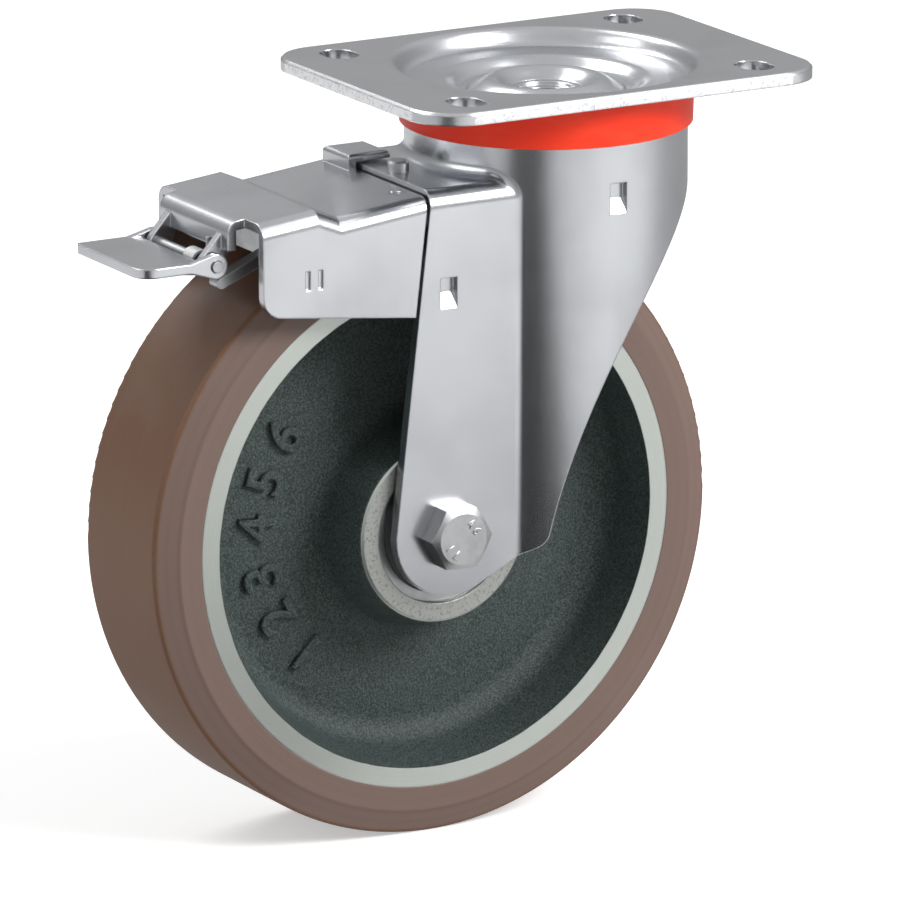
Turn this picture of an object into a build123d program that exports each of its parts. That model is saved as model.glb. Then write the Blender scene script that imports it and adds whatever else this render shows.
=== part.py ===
"""Swivel castor with a 200 x 50 mm iron-centred wheel, a pressed fork and a rear total-lock brake.

Millimetres. The origin is the centre of the mounting face, on the swivel axis. +Z is up, +X is along
the axle towards the bolt head, and the wheel and brake pedal trail towards -Y.
"""

import os
from math import cos, radians, sin, sqrt, tan

from build123d import *

# Wheel
TOTAL_HEIGHT = 240.0
HEAD_ROOM = 40.0
WHEEL_TRAIL = 54.0
TREAD_HALF = 25.0
TREAD_FLAT_HALF = 22.0
TREAD_THICK = 15.6
TREAD_SHOULDER = 8.0
RIM_THICK = 6.4
RIM_DRAFT = 5.0
WEB_HALF_OUTER = 4.5
WEB_HALF_INNER = 7.0
HUB_ROOT_R = 35.0
HUB_R = 30.0
HUB_SIDE_GAP = 1.0
CORE_EDGE = 1.0
WEB_FILLET = 8.0
TREAD_EDGE_R = 1.5

# Wheel bearings
BEARING_OUTER_R = 23.5
BEARING_INNER_R = 10.0
BEARING_WIDTH = 14.0
BEARING_INSET = 2.0
BEARING_RING = 3.15
BEARING_BALL_GAP = 0.1
BEARING_BALLS = 7
SEAL_INSET = 0.8
SEAL_WALL = 1.0
SEAL_GAP = 0.3
HUB_STEP = 3.0

# Axle
BOLT_R = 6.0
BOLT_HOLE_R = 6.3
HEAD_FLATS = 19.0
HEAD_HEIGHT = 7.5
HEAD_CHAMFER = 2.7
NUT_HEIGHT = 10.5
WASHER_R = 12.0
WASHER_THICK = 2.5
BOLT_END = 3.0
HEAD_SIDES = 6
SLEEVE_WALL = 2.5

# Mounting plate
PLATE_LENGTH = 144.0
PLATE_WIDTH = 110.0
PLATE_THICK = 4.0
PLATE_CORNER_R = 16.0
PLATE_EDGE = 0.8
HOLE_SPACING_Y = 105.0
HOLE_SPACING_X = 80.0
SLOT_R = 5.5
SLOT_LENGTH = 14.5
DISH_R = 50.0
DISH_FLOOR_R = 43.5
DISH_DEPTH = 5.5
STEP_R = 33.5
STEP_FLOOR_R = 27.0
STEP_DEPTH = 3.5
STEP_SHIFT = 1.0

# Swivel head
KINGPIN_R = 11.0
KINGPIN_BORE_R = 7.5
KINGPIN_HEAD_R = 17.5
KINGPIN_HEAD = 3.2
KINGPIN_CROWN_SHIFT = 1.5
UPPER_BALL_R = 4.0
UPPER_PITCH_R = 38.2
UPPER_BALLS = 24
LOWER_BALL_R = 2.5
LOWER_PITCH_R = 21.0
LOWER_BALLS = 14
BALL_SINK = 0.5
RACE_GAP = 0.08
SLEEVE_GAP = 0.4
SLEEVE_R = 14.5
RACE_R = 26.0
RACE_THICK = 3.0
LOCK_RING_R = 32.0
LOCK_RING_THICK = 3.0
LOCK_TEETH = 24
LOCK_NOTCH = 4.6
LOCK_NOTCH_DEPTH = 5.0

# Fork, drawn from one sheet
SHEET = 4.0
DRUM_R = 45.0
CROWN_TOP = -17.0
CROWN_EDGE_R = 1.5
LEG_HALF = 34.0
ROOF_TOP = -29.0
ROOF_REAR = -61.0
ROOF_EDGE_R = 6.0
NECK_FILLET = 4.0
LEG_END_R = 20.0
LEG_CORNER_R = 7.0
DRUM_FRONT_LOW = -33.0
DRUM_CUT_MID = (0.0, -86.0)
LEG_FRONT_CORNER_Y = -22.0
LEG_BOTTOM_RISE = 26.6
WINDOW_WIDTH = 6.0
WINDOW_HEIGHT = 10.0
WINDOW_DEPTH = 2.4
DRUM_WINDOW_Z = -36.0
PIVOT_BOSS_R = 4.0

# Dust seal
DUST_SEAL_R = 47.0
DUST_SEAL_LOW_R = 46.6
DUST_SEAL_BORE_R = 42.8
DUST_SEAL_GAP = 0.4
DUST_SEAL_SKIRT = 1.6
DUST_SEAL_FIT = 0.1

# Brake pedal, folded from one sheet
PEDAL_SHEET = 3.0
PEDAL_PIVOT = (-55.0, -62.0)
PEDAL_ANGLE = 8.0
PEDAL_FRONT_GAP = 1.4
PEDAL_FRONT_TOP = -30.6
PEDAL_DIP = (-93.0, -34.0)
PEDAL_PAD = (-101.0, -30.6)
PEDAL_WALL_REAR_Y = -121.0
PEDAL_REAR = (-127.0, -33.4)
PEDAL_REAR_LOW = -62.0
PEDAL_FRONT_LOW = -68.4
PEDAL_CORNER_R = 7.0
PEDAL_FOLD_R = 5.0
TONGUE_HALF = 22.0
TONGUE_FRONT_Y = -116.0
TONGUE_BEND_R = 4.5
PEDAL_LIP = 9.0
LUG_R = 3.8
LUG_FACE = 18.0
LUG_THICK = 3.0
LUG_ROOT = 5.0
EAR_GAP = 0.3
EAR_R = 8.0
EAR_ROOT = (-76.0, -54.0)
EAR_ROOT_HEIGHT = 24.0
JOGGLE_FRONT_Y = -68.0
RUNNING_GAP = 0.08
TAB_NEAR_X = -12.0
TAB_FAR_X = -28.5
TAB_FRONT_Y = -50.0
TAB_REAR_Y = -65.0
TAB_SHEET = 2.4
TAB_ROOF_GAP = 0.7
TAB_EDGE_R = 1.6
MARK_PLACE = (-103.0, -52.0)
MARK_SIZE = (1.6, 6.0)
MARK_SPACING = 4.5
MARK_DEPTH = 0.8

# Brake shoe with its tail bar, and the return spring
SHOE_HALF = 15.0
SHOE_FRONT_Y = -84.0
SHOE_REAR_Y = -108.0
SHOE_LOCK_GAP = 0.4
TAIL_X = 20.0
TAIL_ROOT = (-104.0, -43.0)
TAIL_END = (-128.0, -53.0)
TAIL_THICK = 3.4
LEAF_THICK = 1.0
LEAF_WIDTH = 8.0
LEAF_TIP_Y = -53.0
LEAF_TIP_GAP = 0.4
LEAF_REAR_Y = -74.0
LEAF_RIVET = (21.0, -67.0)
LEAF_RIVET_HEAD = 1.2
FLUSH = 0.05

# Swivel lock lever, and the bracket and rivet that carry it
RIVET_PLACE = (3.0, -55.6)
RIVET_R = 2.0
RIVET_HEAD_R = 3.5
RIVET_HEAD = 3.6
RIVET_EDGE = 0.6
LEVER_PIVOT = (-50.0, -36.6)
LEVER_THICK = 2.8
LEVER_HALF = 11.0
LEVER_FRONT_Y = -27.6
LEVER_REAR_Y = -69.0
LEVER_LIP_GAP = 0.5
LEVER_PIN_R = 1.4
LEVER_BARREL_R = 2.3
TOOTH_WIDTH = 3.4
TOOTH_GAP = 0.6
BRACKET_SHEET = 1.2
BRACKET_GAP = 0.5
BRACKET_FRONT_Y = -45.0
BRACKET_REAR_Y = -59.0
BRACKET_LOW = -39.0

# Release blade, its pin and its torsion spring
BLADE_PIN = (-130.5, -47.0)
BLADE_PIN_R = 1.8
BLADE_TOP = -45.2
BLADE_SHEET = 3.0
BLADE_HALF = 21.5
BLADE_EAR = 2.6
BLADE_FRONT_Y = -135.4
BLADE_REAR_Y = -157.0
BLADE_NEAR_CORNER_R = 6.0
BLADE_FAR_CORNER_R = 1.5
BLADE_EAR_R = 3.9
PIN_HEAD = 0.8
COIL_WIRE_R = 0.65
COIL_LEG = 7.0
COIL_TURNS = 5
COIL_GAP = 0.3
COIL_CENTRE_X = 8.0

# Derived places
TOUCH = 0.01
WHEEL_R = (TOTAL_HEIGHT - HEAD_ROOM) / 2
AXLE_Z = WHEEL_R - TOTAL_HEIGHT
TREAD_SIDE_R = WHEEL_R - TREAD_SHOULDER
CORE_R = WHEEL_R - TREAD_THICK
RIM_R = CORE_R - RIM_THICK
RIM_ROOT_R = RIM_R - RIM_DRAFT
LEG_INNER = LEG_HALF - SHEET
HUB_HALF = LEG_INNER - HUB_SIDE_GAP
LUG_INNER = LUG_FACE - LUG_THICK
PLATE_BOTTOM = -PLATE_THICK
DISH_BOTTOM = -DISH_DEPTH - PLATE_THICK
STEP_TOP = -DISH_DEPTH - STEP_DEPTH
STEP_BOTTOM = STEP_TOP - PLATE_THICK
CROWN_BOTTOM = CROWN_TOP - SHEET
UPPER_BALL_Z = DISH_BOTTOM - RACE_GAP - UPPER_BALL_R
LOWER_BALL_Z = CROWN_BOTTOM - RACE_GAP - LOWER_BALL_R + BALL_SINK
RACE_TOP = LOWER_BALL_Z - LOWER_BALL_R - RACE_GAP + BALL_SINK
LOCK_RING_TOP = RACE_TOP - RACE_THICK
LOCK_RING_BOTTOM = LOCK_RING_TOP - LOCK_RING_THICK
BEARING_FACE = HUB_HALF - BEARING_INSET
BEARING_BACK = BEARING_FACE - BEARING_WIDTH
BEARING_PITCH_R = (BEARING_OUTER_R + BEARING_INNER_R) / 2
BEARING_BALL_R = (BEARING_OUTER_R - BEARING_INNER_R) / 2 - BEARING_RING - BEARING_BALL_GAP
EAR_OUTER = LEG_INNER - EAR_GAP
EAR_INNER = EAR_OUTER - PEDAL_SHEET
PEDAL_INNER = LEG_HALF - PEDAL_SHEET
HUB_STEP_R = BEARING_OUTER_R - HUB_STEP
SPACER_R = BEARING_INNER_R + BEARING_RING
SEAL_START = BEARING_FACE - SEAL_INSET - SEAL_WALL
SEAL_INNER_R = BEARING_INNER_R + BEARING_RING + SEAL_GAP
FROM_REAR = (Align.CENTER, Align.MIN)
BOTH_SIDES = ((1, "near"), (-1, "far"))

AXLE = Plane(origin=(0, -WHEEL_TRAIL, AXLE_Z), x_dir=(0, 1, 0), z_dir=(1, 0, 0))
WHEEL_SECTION = Plane(origin=(0, -WHEEL_TRAIL, AXLE_Z), x_dir=(1, 0, 0), z_dir=(0, -1, 0))
AXLE_LINE = Axis((0, -WHEEL_TRAIL, AXLE_Z), (1, 0, 0))
SIDE_VIEW = Plane.YZ


def turned(point, pivot, angle):
    """A side-view point turned about a side-view pivot, in degrees about +X."""
    dy = point[0] - pivot[0]
    dz = point[1] - pivot[1]
    turn = radians(angle)
    return (pivot[0] + dy * cos(turn) - dz * sin(turn), pivot[1] + dy * sin(turn) + dz * cos(turn))


def along(start, end, y):
    """The point of a side-view line at a given Y."""
    share = (y - start[0]) / (end[0] - start[0])
    return (y, start[1] + share * (end[1] - start[1]))


def lowered(point, depth):
    """A side-view point moved straight down."""
    return (point[0], point[1] - depth)


def save(builder, label):
    """Names a finished piece and writes its file."""
    builder.part.label = label
    export_step(builder.part, f"parts/{label}.step")


os.makedirs("parts", exist_ok=True)

# Mounting plate: flat rim, then a dish that steps down twice to the kingpin
with BuildPart() as top_plate:
    with BuildSketch():
        RectangleRounded(PLATE_WIDTH, PLATE_LENGTH, PLATE_CORNER_R)
        with GridLocations(HOLE_SPACING_X, HOLE_SPACING_Y, 2, 2):
            SlotOverall(SLOT_LENGTH, 2 * SLOT_R, mode=Mode.SUBTRACT)
        Circle(DISH_R, mode=Mode.SUBTRACT)
    extrude(amount=-PLATE_THICK)
    with BuildSketch(Plane.XZ):
        with BuildLine():
            upper_roll = Spline((DISH_R, 0), (DISH_FLOOR_R, -DISH_DEPTH), tangents=((-1, 0), (-1, 0)))
            Line(upper_roll @ 1, (STEP_R, -DISH_DEPTH))
            lower_roll = Spline((STEP_R, -DISH_DEPTH), (STEP_FLOOR_R, STEP_TOP), tangents=((-1, 0), (-1, 0)))
            Line(lower_roll @ 1, (KINGPIN_R, STEP_TOP))
            Line((KINGPIN_R, STEP_TOP), (KINGPIN_R, STEP_BOTTOM))
            Line((KINGPIN_R, STEP_BOTTOM), (STEP_FLOOR_R - STEP_SHIFT, STEP_BOTTOM))
            under_step = Spline(
                (STEP_FLOOR_R - STEP_SHIFT, STEP_BOTTOM),
                (STEP_R - STEP_SHIFT, DISH_BOTTOM),
                tangents=((1, 0), (1, 0)),
            )
            Line(under_step @ 1, (DISH_FLOOR_R, DISH_BOTTOM))
            Line((DISH_FLOOR_R, DISH_BOTTOM), (DISH_R - PLATE_THICK / 2, PLATE_BOTTOM))
            Line((DISH_R - PLATE_THICK / 2, PLATE_BOTTOM), (DISH_R, PLATE_BOTTOM))
            Line((DISH_R, PLATE_BOTTOM), (DISH_R, 0))
        make_face()
    revolve(axis=Axis.Z)
    rim = top_plate.faces().filter_by(Axis.Z).sort_by(Axis.Z)[-1]
    chamfer(rim.outer_wire().edges(), PLATE_EDGE)
save(top_plate, "top_plate")

# Hollow kingpin, riveted over at both ends
with BuildPart() as kingpin:
    with BuildSketch(Plane.XZ):
        with BuildLine():
            Polyline(
                (KINGPIN_BORE_R, LOCK_RING_BOTTOM - KINGPIN_HEAD),
                (KINGPIN_HEAD_R - KINGPIN_HEAD / 2, LOCK_RING_BOTTOM - KINGPIN_HEAD),
                (KINGPIN_HEAD_R, LOCK_RING_BOTTOM),
                (KINGPIN_R, LOCK_RING_BOTTOM),
                (KINGPIN_R, STEP_TOP),
                (KINGPIN_HEAD_R, STEP_TOP),
            )
            ThreePointArc(
                (KINGPIN_HEAD_R, STEP_TOP),
                ((KINGPIN_HEAD_R + KINGPIN_BORE_R) / 2 + KINGPIN_CROWN_SHIFT, STEP_TOP + KINGPIN_HEAD),
                (KINGPIN_BORE_R, STEP_TOP + KINGPIN_HEAD / 4),
            )
            Line(
                (KINGPIN_BORE_R, STEP_TOP + KINGPIN_HEAD / 4),
                (KINGPIN_BORE_R, LOCK_RING_BOTTOM - KINGPIN_HEAD),
            )
        make_face()
    revolve(axis=Axis.Z)
save(kingpin, "kingpin")

# Sleeve that holds the two races apart round the kingpin
with BuildPart() as race_sleeve:
    with BuildSketch(Plane.XY.offset(RACE_TOP)):
        Circle(SLEEVE_R)
        Circle(KINGPIN_R, mode=Mode.SUBTRACT)
    extrude(amount=STEP_BOTTOM - RACE_TOP)
save(race_sleeve, "race_sleeve")

# Lower race, a washer with a rolled ball track
with BuildPart() as lower_race:
    with BuildSketch(Plane.XY.offset(RACE_TOP)):
        Circle(RACE_R)
        Circle(KINGPIN_R, mode=Mode.SUBTRACT)
    extrude(amount=-RACE_THICK)
    with BuildSketch(Plane.XZ):
        with Locations((LOWER_PITCH_R, LOWER_BALL_Z)):
            Circle(LOWER_BALL_R + RACE_GAP)
    revolve(axis=Axis.Z, mode=Mode.SUBTRACT)
save(lower_race, "lower_race")

# Swivel lock ring, with a notch for each lock position
with BuildPart() as lock_ring:
    with BuildSketch(Plane.XY.offset(LOCK_RING_BOTTOM)):
        Circle(LOCK_RING_R)
        Circle(KINGPIN_R, mode=Mode.SUBTRACT)
        with PolarLocations(LOCK_RING_R, LOCK_TEETH, start_angle=-90):
            Rectangle(2 * LOCK_NOTCH_DEPTH, LOCK_NOTCH, mode=Mode.SUBTRACT)
    extrude(amount=LOCK_RING_THICK)
save(lock_ring, "lock_ring")

# Two rings of balls, above and below the crown
for label, pitch_r, ball_r, ball_z, count in (
    ("upper_balls", UPPER_PITCH_R, UPPER_BALL_R, UPPER_BALL_Z, UPPER_BALLS),
    ("lower_balls", LOWER_PITCH_R, LOWER_BALL_R, LOWER_BALL_Z, LOWER_BALLS),
):
    with BuildPart() as balls:
        with Locations((0, 0, ball_z)):
            with PolarLocations(pitch_r, count):
                Sphere(ball_r)
    save(balls, label)

# Fork silhouette seen from the side, in Y and Z
leg_end = (-WHEEL_TRAIL, AXLE_Z)
rise = radians(LEG_BOTTOM_RISE)
leg_tangent = (leg_end[0] + LEG_END_R * sin(rise), leg_end[1] - LEG_END_R * cos(rise))
leg_corner = (LEG_FRONT_CORNER_Y, leg_tangent[1] + (LEG_FRONT_CORNER_Y - leg_tangent[0]) * tan(rise))
leg_bottom = (leg_end[0] - LEG_END_R * sin(rise), leg_tangent[1])
leg_rear = (leg_end[0] - LEG_END_R, AXLE_Z)
leg_low = AXLE_Z - LEG_END_R

# Inside of the fork: the outer form, one sheet smaller
with BuildPart() as fork_cavity:
    with BuildSketch(Plane.XY.offset(CROWN_BOTTOM)):
        Circle(DRUM_R - SHEET)
    extrude(amount=leg_low - SHEET - CROWN_BOTTOM)
    fillet(fork_cavity.edges().sort_by(Axis.Z)[-1], CROWN_EDGE_R / 2)
    with BuildSketch(Plane.XY.offset(ROOF_TOP - SHEET)):
        with Locations((0, leg_rear[0] - SHEET)):
            Rectangle(2 * LEG_INNER, SHEET - leg_rear[0], align=(Align.CENTER, Align.MIN))
    extrude(amount=leg_low - ROOF_TOP)
    inner_roof_edges = [
        edge for edge in fork_cavity.edges().filter_by(Axis.Y)
        if abs(edge.center().Z - ROOF_TOP + SHEET) < TOUCH
    ]
    fillet(inner_roof_edges, ROOF_EDGE_R - SHEET)

# Fork: a drum over a leg box, drawn smooth where they meet and hollowed
with BuildPart() as fork:
    with BuildSketch(Plane.XY.offset(CROWN_TOP)):
        Circle(DRUM_R)
    extrude(amount=leg_low - CROWN_TOP)
    fillet(fork.edges().sort_by(Axis.Z)[-1], CROWN_EDGE_R)
    with BuildSketch(Plane.XY.offset(ROOF_TOP)):
        with Locations((0, leg_rear[0])):
            Rectangle(2 * LEG_HALF, -leg_rear[0], align=(Align.CENTER, Align.MIN))
    extrude(amount=leg_low - ROOF_TOP)
    roof_edges = [
        edge for edge in fork.edges().filter_by(Axis.Y)
        if abs(abs(edge.center().X) - LEG_HALF) < TOUCH and abs(edge.center().Z - ROOF_TOP) < TOUCH
    ]
    fillet(roof_edges, ROOF_EDGE_R)
    neck_edges = [
        edge for edge in fork.edges().filter_by(GeomType.CIRCLE)
        if abs(edge.center().Z - ROOF_TOP) < TOUCH
    ]
    fold_edges = [
        edge for edge in fork.edges().filter_by(Axis.Z)
        if abs(abs(edge.center().X) - LEG_HALF) < TOUCH and edge.center().Y > leg_rear[0] + TOUCH
    ]
    fillet(fold_edges + neck_edges, NECK_FILLET)
    add(fork_cavity.part, mode=Mode.SUBTRACT)
    with BuildSketch(SIDE_VIEW) as fork_outline:
        with BuildLine():
            Polyline(
                leg_rear,
                (ROOF_REAR, ROOF_TOP),
                (ROOF_REAR, CROWN_TOP + SHEET),
                (DRUM_R + SHEET, CROWN_TOP + SHEET),
                (DRUM_R + SHEET, DRUM_FRONT_LOW),
                (DRUM_R, DRUM_FRONT_LOW),
            )
            ThreePointArc((DRUM_R, DRUM_FRONT_LOW), DRUM_CUT_MID, leg_corner)
            Line(leg_corner, leg_tangent)
            ThreePointArc(leg_tangent, leg_bottom, leg_rear)
        make_face()
        fillet(fork_outline.vertices().sort_by_distance((*leg_corner, 0))[0], LEG_CORNER_R)
    extrude(amount=DRUM_R + SHEET, both=True, mode=Mode.INTERSECT)
    # Ball tracks over and under the crown, and the clear hole round the race sleeve
    with BuildSketch(Plane.XZ):
        with Locations((UPPER_PITCH_R, UPPER_BALL_Z)):
            Circle(UPPER_BALL_R + RACE_GAP)
        with Locations((LOWER_PITCH_R, LOWER_BALL_Z)):
            Circle(LOWER_BALL_R + RACE_GAP)
    revolve(axis=Axis.Z, mode=Mode.SUBTRACT)
    with Locations((0, 0, CROWN_TOP)):
        Hole(SLEEVE_R + SLEEVE_GAP, 2 * SHEET)
    # Axle bolt holes
    with Locations(AXLE):
        Cylinder(BOLT_HOLE_R, 3 * LEG_HALF, mode=Mode.SUBTRACT)
    # Hole for the bracket's rivet
    with Locations((RIVET_PLACE[0], RIVET_PLACE[1], ROOF_TOP)):
        Cylinder(RIVET_R, 3 * SHEET, mode=Mode.SUBTRACT)
    # Inward bosses that the pedal's ears turn on
    with BuildSketch(SIDE_VIEW.offset(EAR_INNER)):
        with Locations(PEDAL_PIVOT):
            Circle(PIVOT_BOSS_R)
    pivot_boss = extrude(amount=LEG_INNER + TOUCH - EAR_INNER)
    mirror(pivot_boss, about=Plane.YZ)
    # Pressed windows, deep at the top and running out to the face at the bottom
    for face_x, centre_y, centre_z in (
        (LEG_HALF, PEDAL_PIVOT[0], PEDAL_PIVOT[1]),
        (DRUM_R, 0, DRUM_WINDOW_Z),
    ):
        with BuildSketch(Plane.XZ.offset(-centre_y)):
            with Locations((face_x, centre_z)):
                Polygon(
                    (-WINDOW_DEPTH, WINDOW_HEIGHT / 2),
                    (SHEET, WINDOW_HEIGHT / 2),
                    (SHEET, -WINDOW_HEIGHT / 2),
                    (0, -WINDOW_HEIGHT / 2),
                    (-WINDOW_DEPTH, 0),
                    align=None,
                )
        window = extrude(amount=WINDOW_WIDTH / 2, both=True, mode=Mode.SUBTRACT)
        mirror(window, about=Plane.YZ, mode=Mode.SUBTRACT)
save(fork, "fork")

# Dust seal on the crown's rim, with a skirt round the drum
dish_outer = (DISH_R - PLATE_THICK / 2, PLATE_BOTTOM)
dish_wall = along((DISH_FLOOR_R, DISH_BOTTOM), dish_outer, DUST_SEAL_R)
with BuildPart() as dust_seal:
    with BuildSketch(Plane.XZ):
        Polygon(
            (DUST_SEAL_BORE_R, CROWN_TOP),
            (DUST_SEAL_BORE_R, DISH_BOTTOM - DUST_SEAL_GAP),
            (DISH_FLOOR_R, DISH_BOTTOM - DUST_SEAL_GAP),
            lowered(dish_wall, 2 * DUST_SEAL_GAP),
            (DUST_SEAL_LOW_R, CROWN_TOP - DUST_SEAL_SKIRT),
            (DRUM_R + DUST_SEAL_FIT, CROWN_TOP - DUST_SEAL_SKIRT),
            (DRUM_R + DUST_SEAL_FIT, CROWN_TOP),
            align=None,
        )
    revolve(axis=Axis.Z)
save(dust_seal, "dust_seal")

# Brake pedal outline seen from the side
front_top = (ROOF_REAR - PEDAL_FRONT_GAP, PEDAL_FRONT_TOP)
leg_slope = (ROOF_REAR - leg_rear[0]) / (ROOF_TOP - leg_rear[1])
front_low = (front_top[0] + leg_slope * (PEDAL_FRONT_LOW - PEDAL_FRONT_TOP), PEDAL_FRONT_LOW)
pedal_top_line = (front_top, PEDAL_DIP, PEDAL_PAD, PEDAL_REAR)
pedal_under_line = [lowered(point, PEDAL_SHEET) for point in pedal_top_line]
wall_top = along(PEDAL_PAD, PEDAL_REAR, PEDAL_WALL_REAR_Y)
wall_low = (PEDAL_WALL_REAR_Y, PEDAL_REAR_LOW)

with BuildPart() as pedal_ear:
    with BuildSketch(SIDE_VIEW):
        with Locations(PEDAL_PIVOT):
            Circle(EAR_R)
        with Locations(EAR_ROOT):
            Rectangle(PEDAL_SHEET, EAR_ROOT_HEIGHT)
        make_hull()
        with Locations(PEDAL_PIVOT):
            Circle(PIVOT_BOSS_R + RUNNING_GAP, mode=Mode.SUBTRACT)
    extrude(amount=LEG_HALF)
    joggle_y = JOGGLE_FRONT_Y - PEDAL_SHEET
    joggle_in = PEDAL_INNER - EAR_INNER
    with BuildSketch(Plane.XY.offset(PEDAL_FRONT_TOP)):
        Polygon(
            (EAR_OUTER, PEDAL_PIVOT[0] + EAR_R),
            (EAR_INNER, PEDAL_PIVOT[0] + EAR_R),
            (EAR_INNER, joggle_y),
            (PEDAL_INNER, joggle_y - joggle_in),
            (PEDAL_INNER + TOUCH, joggle_y - joggle_in),
            (PEDAL_INNER + TOUCH, JOGGLE_FRONT_Y - (PEDAL_INNER - EAR_OUTER)),
            (EAR_OUTER, JOGGLE_FRONT_Y),
            align=None,
        )
    extrude(amount=-3 * EAR_ROOT_HEIGHT, mode=Mode.INTERSECT)

# Inside of the pedal's channel, open at both ends
with BuildPart() as pedal_hollow:
    with BuildSketch(SIDE_VIEW):
        Polygon(
            (front_top[0] + EAR_R, pedal_under_line[0][1]),
            *pedal_under_line,
            (PEDAL_REAR[0], PEDAL_FRONT_LOW - PEDAL_SHEET),
            (front_top[0] + EAR_R, PEDAL_FRONT_LOW - PEDAL_SHEET),
            align=None,
        )
    extrude(amount=PEDAL_INNER, both=True)

# Tongue at the pedal's rear, its end rolled down
with BuildPart() as pedal_tongue:
    with BuildSketch(SIDE_VIEW) as tongue_outline:
        tongue_front = along(PEDAL_PAD, PEDAL_REAR, TONGUE_FRONT_Y)
        tongue_bend = along(PEDAL_PAD, PEDAL_REAR, PEDAL_REAR[0] + PEDAL_SHEET)
        Polygon(
            tongue_front,
            PEDAL_REAR,
            lowered(PEDAL_REAR, PEDAL_LIP),
            (PEDAL_REAR[0] + PEDAL_SHEET, PEDAL_REAR[1] - PEDAL_LIP),
            lowered(tongue_bend, PEDAL_SHEET),
            lowered(tongue_front, PEDAL_SHEET),
            align=None,
        )
        outer_bend = tongue_outline.vertices().sort_by_distance((*PEDAL_REAR, 0))[0]
        fillet(outer_bend, TONGUE_BEND_R)
    extrude(amount=TONGUE_HALF, both=True)

# Tab from the pedal's front edge over the fork's roof
tab_low = ROOF_TOP + TAB_ROOF_GAP
tab_top = tab_low + TAB_SHEET
with BuildPart() as pedal_tab:
    with BuildSketch(SIDE_VIEW.offset(TAB_FAR_X)):
        Polygon(
            (TAB_FRONT_Y, tab_low),
            (TAB_FRONT_Y, tab_top),
            (TAB_REAR_Y, tab_top),
            (TAB_REAR_Y, PEDAL_FRONT_TOP - PEDAL_SHEET / 2),
            (front_top[0], PEDAL_FRONT_TOP - PEDAL_SHEET / 2),
            (front_top[0], tab_low),
            align=None,
        )
    extrude(amount=TAB_NEAR_X - TAB_FAR_X)
    fillet(pedal_tab.faces().sort_by(Axis.Z)[-1].edges(), TAB_EDGE_R)

# Lug that holds the blade's pin
with BuildPart() as pedal_lug:
    with BuildSketch(SIDE_VIEW.offset(LUG_INNER)):
        with Locations(BLADE_PIN):
            Circle(LUG_R)
        with Locations((PEDAL_REAR[0] + PEDAL_SHEET / 2, PEDAL_REAR[1] - PEDAL_LIP + LUG_ROOT / 2)):
            Rectangle(PEDAL_SHEET, LUG_ROOT)
        make_hull()
        with Locations(BLADE_PIN):
            Circle(BLADE_PIN_R, mode=Mode.SUBTRACT)
    extrude(amount=LUG_THICK)

# Brake pedal: a folded channel with an ear at each side
with BuildPart() as brake_pedal:
    with BuildSketch(SIDE_VIEW) as pedal_outline:
        Polygon(*pedal_top_line[:3], wall_top, wall_low, front_low, align=None)
        fillet(pedal_outline.vertices().sort_by_distance((*wall_low, 0))[0], PEDAL_CORNER_R)
    extrude(amount=LEG_HALF, both=True)
    top_edges = [
        edge for edge in brake_pedal.edges()
        if abs(abs(edge.center().X) - LEG_HALF) < TOUCH and edge.center().Z > PEDAL_DIP[1] - TOUCH
    ]
    fillet(top_edges, PEDAL_FOLD_R)
    add(pedal_hollow.part, mode=Mode.SUBTRACT)
    add(pedal_tongue.part)
    add(pedal_tab.part)
    add(pedal_ear.part)
    mirror(pedal_ear.part, about=Plane.YZ)
    add(pedal_lug.part)
    mirror(pedal_lug.part, about=Plane.YZ)
    # Hole for the spring rivet
    with Locations((LEAF_RIVET[0], LEAF_RIVET[1], PEDAL_FRONT_TOP)):
        Cylinder(RIVET_R, 4 * PEDAL_SHEET, mode=Mode.SUBTRACT)
    # Two pressed marks on each side
    with BuildSketch(SIDE_VIEW.offset(LEG_HALF)):
        with Locations(MARK_PLACE):
            with GridLocations(MARK_SPACING, 1, 2, 1):
                Rectangle(*MARK_SIZE)
    marks = extrude(amount=-MARK_DEPTH, mode=Mode.SUBTRACT)
    mirror(marks, about=Plane.YZ, mode=Mode.SUBTRACT)
save(brake_pedal, "brake_pedal")

# Brake shoe: its underside is the tread's curve as it lies once the pedal is down
shoe_centre = turned((-WHEEL_TRAIL, AXLE_Z), PEDAL_PIVOT, -PEDAL_ANGLE)
shoe_r = WHEEL_R + SHOE_LOCK_GAP


def shoe_low(y):
    """The point of the shoe's curve at a given Y."""
    return (y, shoe_centre[1] + sqrt(shoe_r**2 - (y - shoe_centre[0]) ** 2))


with BuildPart() as brake_shoe:
    with BuildSketch(SIDE_VIEW):
        with BuildLine():
            Polyline(
                shoe_low(SHOE_FRONT_Y),
                along(pedal_under_line[0], pedal_under_line[1], SHOE_FRONT_Y),
                pedal_under_line[1],
                pedal_under_line[2],
                along(pedal_under_line[2], pedal_under_line[3], SHOE_REAR_Y),
                shoe_low(SHOE_REAR_Y),
            )
            ThreePointArc(
                shoe_low(SHOE_REAR_Y), shoe_low((SHOE_FRONT_Y + SHOE_REAR_Y) / 2), shoe_low(SHOE_FRONT_Y)
            )
        make_face()
    extrude(amount=SHOE_HALF, both=True)
    # Bar from the shoe's side to behind the pedal
    with BuildSketch(SIDE_VIEW.offset(SHOE_HALF - TOUCH)):
        with Locations(TAIL_ROOT, TAIL_END):
            Circle(TAIL_THICK / 2)
        make_hull()
    extrude(amount=TAIL_X - SHOE_HALF)
save(brake_shoe, "brake_shoe")

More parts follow.
